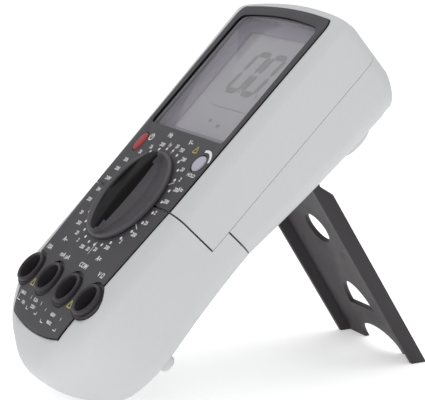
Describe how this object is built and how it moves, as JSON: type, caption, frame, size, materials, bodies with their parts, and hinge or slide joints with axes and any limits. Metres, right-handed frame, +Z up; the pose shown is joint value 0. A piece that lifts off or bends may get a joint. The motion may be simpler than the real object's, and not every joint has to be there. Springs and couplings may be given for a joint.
{
  "type": "digital multimeter",
  "caption": "Bench digital multimeter leaning on its fold-out tilt stand, with a range knob, push keys, display window and a row of shrouded input sockets.",
  "frame": {"origin": "middle of the footprint's bounding rectangle, on the table that the lower end and the stand's feet rest on", "axes": "+Z up, +Y towards the back where the stand's feet are, +X to the right as seen by the user in front of the panel"},
  "size_m": [0.0836, 0.1658, 0.1477],
  "materials": {
    "case_grey": "fine satin moulded texture",
    "panel_grey": "matt printed plate",
    "clear_lens": "polished clear window",
    "mask_grey": "matt",
    "lcd": "satin polariser",
    "black_plastic": "satin moulded",
    "stand_plastic": "satin moulded",
    "red_plastic": "satin",
    "pale_plastic": "satin",
    "rubber_strip": "matt",
    "brass": "turned",
    "steel": "plated",
    "board_green": "solder mask",
    "fuse_ceramic": "matt",
    "battery_wrap": "printed steel can"
  },
  "bodies": {
    "meter": {"upper_front_shell": "case_grey", "upper_rear_shell": "case_grey", "lower_shell": "case_grey", "upper_panel_plate": "panel_grey", "lower_panel_plate": "panel_grey", "display_lens": "clear_lens", "lcd_frame": "mask_grey", "lcd_glass": "lcd", "zebra_strip": "rubber_strip", "detent_ring": "pale_plastic", "power_switch": "black_plastic", "hold_switch": "black_plastic", "circuit_board": "board_green", "shunt_bar": "steel", "battery": "battery_wrap", "battery_snap": "black_plastic", "buzzer": "black_plastic", "jack_collar_1": "black_plastic", "jack_socket_1": "brass", "jack_collar_2": "black_plastic", "jack_socket_2": "brass", "jack_collar_3": "black_plastic", "jack_socket_3": "brass", "jack_collar_4": "black_plastic", "jack_socket_4": "brass", "high_current_fuse": "fuse_ceramic", "high_current_clip_lower": "steel", "high_current_clip_upper": "steel", "low_current_fuse": "fuse_ceramic", "low_current_clip_lower": "steel", "low_current_clip_upper": "steel", "rear_screw_left": "steel", "shell_screw_left": "steel", "upper_pad_left": "case_grey", "lower_pad_left": "case_grey", "rear_screw_right": "steel", "shell_screw_right": "steel", "upper_pad_right": "case_grey", "lower_pad_right": "case_grey"},
    "range_knob": {"function_knob": "black_plastic", "selector_rotor": "black_plastic", "rotor_wiper_inner": "brass", "rotor_wiper_outer": "brass", "detent_ball_left": "steel", "detent_ball_right": "steel"},
    "power_key": {"power_button": "red_plastic"},
    "hold_key": {"hold_button": "pale_plastic"},
    "stand": {"tilt_stand": "stand_plastic"}
  },
  "joints": [
    {"name": "range_turn", "type": "hinge", "parent": "meter", "child": "range_knob", "pos_m": [0, -0.0378, 0.07621], "axis": [0, -0.7071, 0.7071], "continuous": true},
    {"name": "power_press", "type": "slide", "parent": "meter", "child": "power_key", "axis": [0, 0.7071, -0.7071], "range_m": [0, 0.0012], "stiffness_N_per_m": 900},
    {"name": "hold_press", "type": "slide", "parent": "meter", "child": "hold_key", "axis": [0, 0.7071, -0.7071], "range_m": [0, 0.0012], "stiffness_N_per_m": 900},
    {"name": "stand_fold", "type": "hinge", "parent": "meter", "child": "stand", "pos_m": [0, 0.02549, 0.08434], "axis": [-1, 0, 0], "range_deg": [0, 76.7]}
  ]
}
